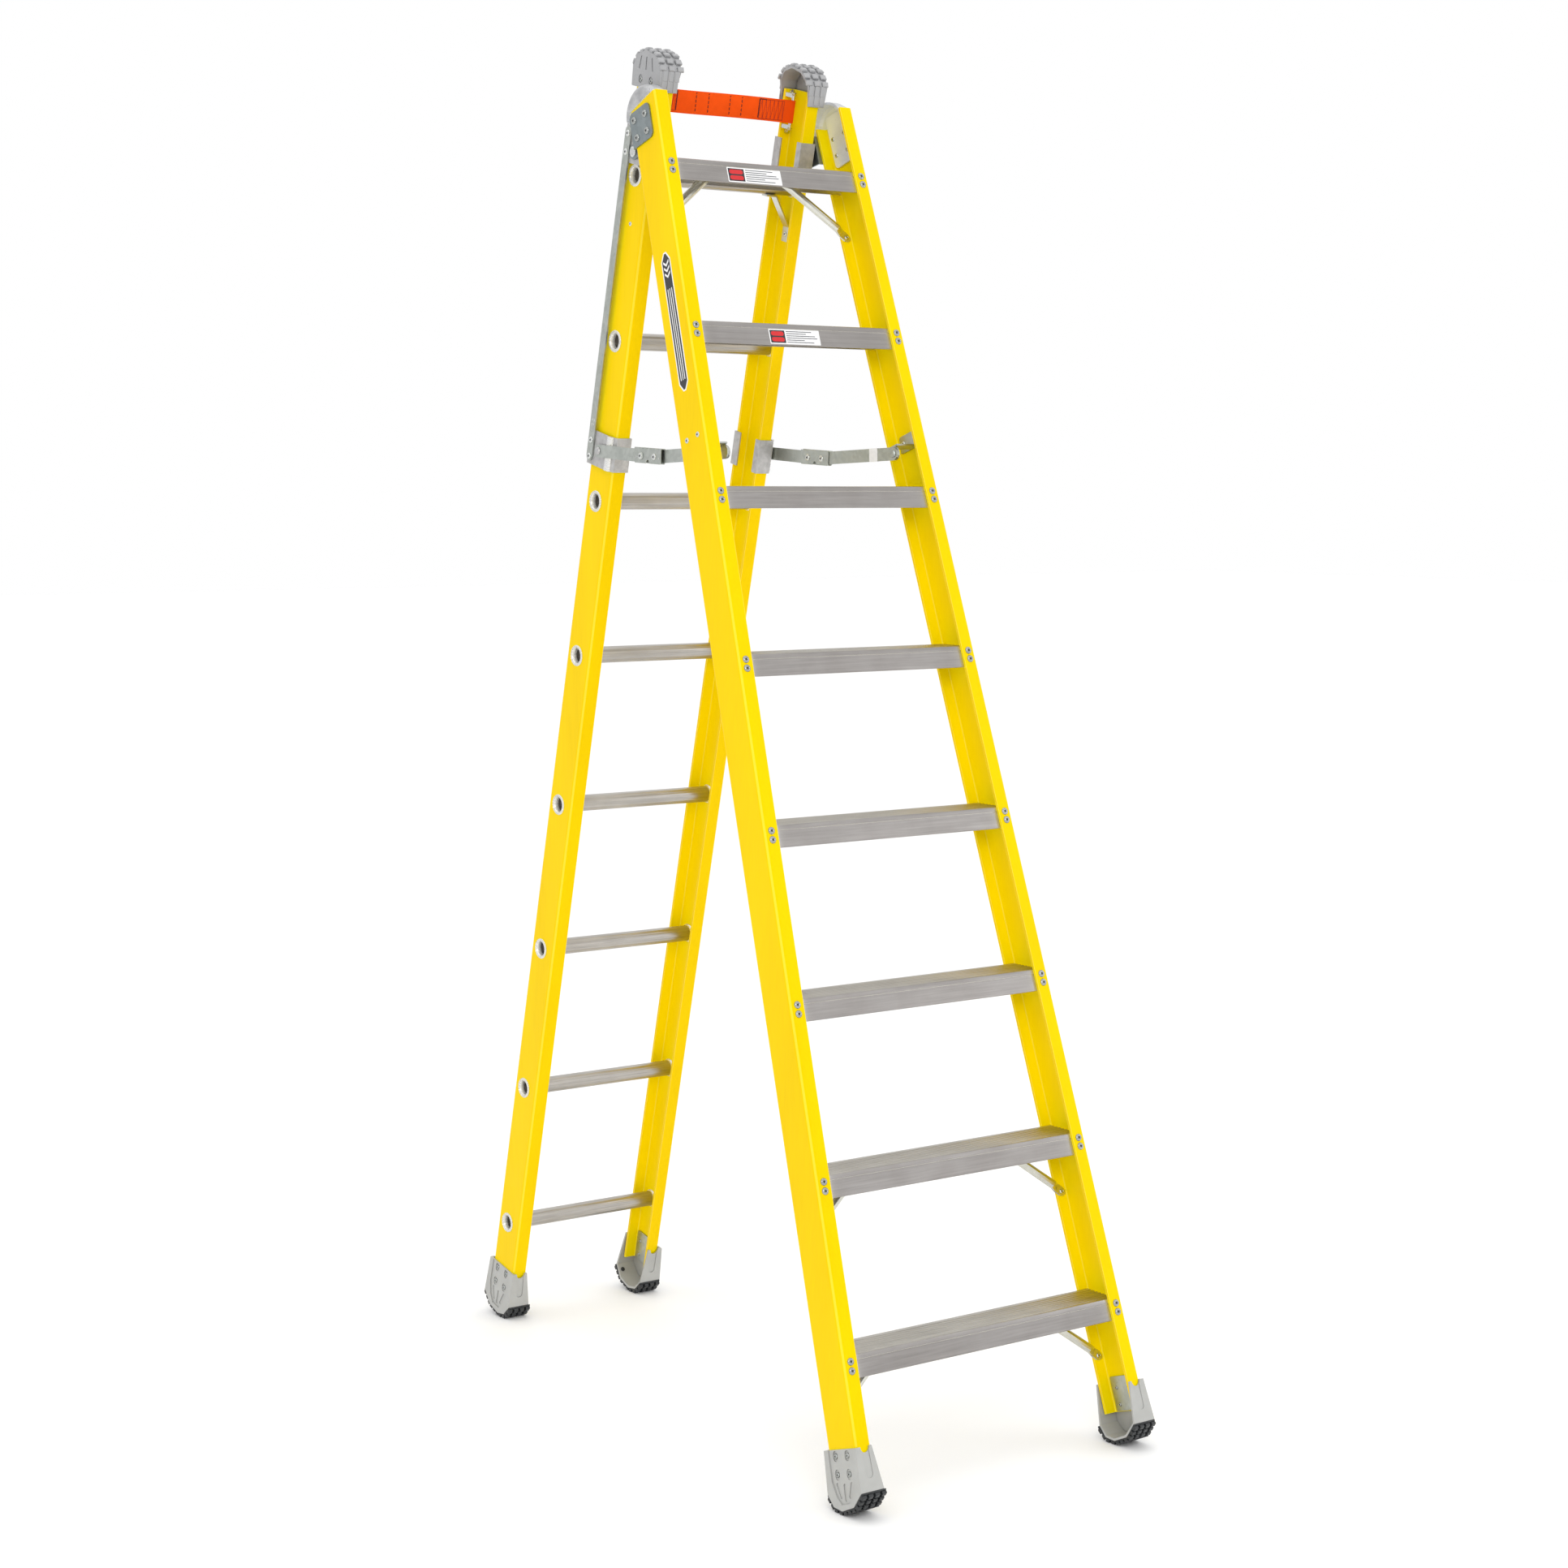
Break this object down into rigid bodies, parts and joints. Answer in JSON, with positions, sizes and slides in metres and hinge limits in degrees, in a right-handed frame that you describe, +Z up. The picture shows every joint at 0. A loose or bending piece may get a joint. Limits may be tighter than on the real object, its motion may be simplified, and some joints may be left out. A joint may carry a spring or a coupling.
{
  "type": "multi position ladder",
  "caption": "Combination ladder open as a stepladder: flared front with flat steps, straight rear with round rungs sliding in sleeves, folding spreaders, rubber-treaded boots.",
  "frame": {"origin": "on the floor under the middle of the open ladder's bounding box", "axes": "+Z up, the steps face -Y, +X to the right when the steps are faced"},
  "size_m": [0.6722, 1.4956, 2.4988],
  "materials": {
    "frp_yellow": "pultruded fibreglass, satin",
    "aluminium_mill": "mill",
    "steel_zinc": "zinc plated",
    "boot_grey": "moulded",
    "tread_rubber": "moulded",
    "strap_orange": "woven webbing"
  },
  "bodies": {
    "front_section": {"fold_pivot_bolt_left": "steel_zinc", "fold_pivot_bolt_right": "steel_zinc", "front_boot_left": "boot_grey", "front_boot_right": "boot_grey", "front_rail_left": "frp_yellow", "front_rail_right": "frp_yellow", "front_tread_left": "tread_rubber", "front_tread_right": "tread_rubber", "hinge_plate_left": "steel_zinc", "hinge_plate_right": "steel_zinc", "rail_end_casting_left": "aluminium_mill", "rail_end_casting_right": "aluminium_mill", "spreader_bracket_left": "steel_zinc", "spreader_bracket_right": "steel_zinc", "step_1": "aluminium_mill", "step_2": "aluminium_mill", "step_3": "aluminium_mill", "step_4": "aluminium_mill", "step_5": "aluminium_mill", "step_6": "aluminium_mill", "step_7": "aluminium_mill", "step_8": "aluminium_mill", "step_brace_1_left": "aluminium_mill", "step_brace_1_right": "aluminium_mill", "step_brace_2_left": "aluminium_mill", "step_brace_2_right": "aluminium_mill", "step_brace_8_left": "aluminium_mill", "step_brace_8_right": "aluminium_mill"},
    "carriage": {"link_bar_left": "steel_zinc", "link_bar_right": "steel_zinc", "lower_sleeve_left": "aluminium_mill", "lower_sleeve_right": "aluminium_mill", "upper_sleeve_left": "aluminium_mill", "upper_sleeve_right": "aluminium_mill"},
    "rear_section": {"hand_strap": "strap_orange", "rear_boot_left": "boot_grey", "rear_boot_right": "boot_grey", "rear_rail_left": "frp_yellow", "rear_rail_right": "frp_yellow", "rear_tread_left": "tread_rubber", "rear_tread_right": "tread_rubber", "rung_1": "aluminium_mill", "rung_2": "aluminium_mill", "rung_3": "aluminium_mill", "rung_4": "aluminium_mill", "rung_5": "aluminium_mill", "rung_6": "aluminium_mill", "rung_7": "aluminium_mill", "rung_8": "aluminium_mill", "rung_brace_left": "aluminium_mill", "rung_brace_right": "aluminium_mill", "top_cap_left": "boot_grey", "top_cap_right": "boot_grey"},
    "front_arm_left": {"spreader_front_arm_left": "steel_zinc"},
    "rear_arm_left": {"spreader_rear_arm_left": "steel_zinc"},
    "knuckle_left": {"spreader_knuckle_left": "steel_zinc"},
    "front_arm_right": {"spreader_front_arm_right": "steel_zinc"},
    "rear_arm_right": {"spreader_rear_arm_right": "steel_zinc"},
    "knuckle_right": {"spreader_knuckle_right": "steel_zinc"}
  },
  "joints": [
    {"name": "fold", "type": "hinge", "parent": "front_section", "child": "carriage", "pos_m": [0, 0.13901, 2.3187], "axis": [-1, 0, 0], "range_deg": [0, 31.6]},
    {"name": "fly_slide", "type": "slide", "parent": "carriage", "child": "rear_section", "axis": [0, -0.2385, 0.9711], "range_m": [0, 1.524]},
    {"name": "front_arm_pivot_left", "type": "hinge", "parent": "front_section", "child": "front_arm_left", "pos_m": [0, -0.14961, 1.775], "axis": [1, 0, 0], "range_deg": [0, 54.1]},
    {"name": "rear_arm_pivot_left", "type": "hinge", "parent": "carriage", "child": "rear_arm_left", "pos_m": [0, 0.26398, 1.78058], "axis": [-1, 0, 0], "range_deg": [0, 87.6]},
    {"name": "knuckle_pivot_left", "type": "hinge", "parent": "rear_arm_left", "child": "knuckle_left", "pos_m": [0, 0.11311, 1.7702], "axis": [1, 0, 0], "range_deg": [0, 95.4]},
    {"name": "front_arm_pivot_right", "type": "hinge", "parent": "front_section", "child": "front_arm_right", "pos_m": [0, -0.14961, 1.775], "axis": [1, 0, 0], "range_deg": [0, 54.1]},
    {"name": "rear_arm_pivot_right", "type": "hinge", "parent": "carriage", "child": "rear_arm_right", "pos_m": [0, 0.26398, 1.78058], "axis": [-1, 0, 0], "range_deg": [0, 87.6]},
    {"name": "knuckle_pivot_right", "type": "hinge", "parent": "rear_arm_right", "child": "knuckle_right", "pos_m": [0, 0.11311, 1.7702], "axis": [1, 0, 0], "range_deg": [0, 95.4]}
  ],
  "couplings": [
    {"joint": "front_arm_pivot_left", "follows": "fold", "ratio": 1.6949},
    {"joint": "rear_arm_pivot_left", "follows": "fold", "ratio": 2.7574},
    {"joint": "knuckle_pivot_left", "follows": "fold", "ratio": 3.0035},
    {"joint": "front_arm_pivot_right", "follows": "fold", "ratio": 1.6949},
    {"joint": "rear_arm_pivot_right", "follows": "fold", "ratio": 2.7574},
    {"joint": "knuckle_pivot_right", "follows": "fold", "ratio": 3.0035}
  ]
}
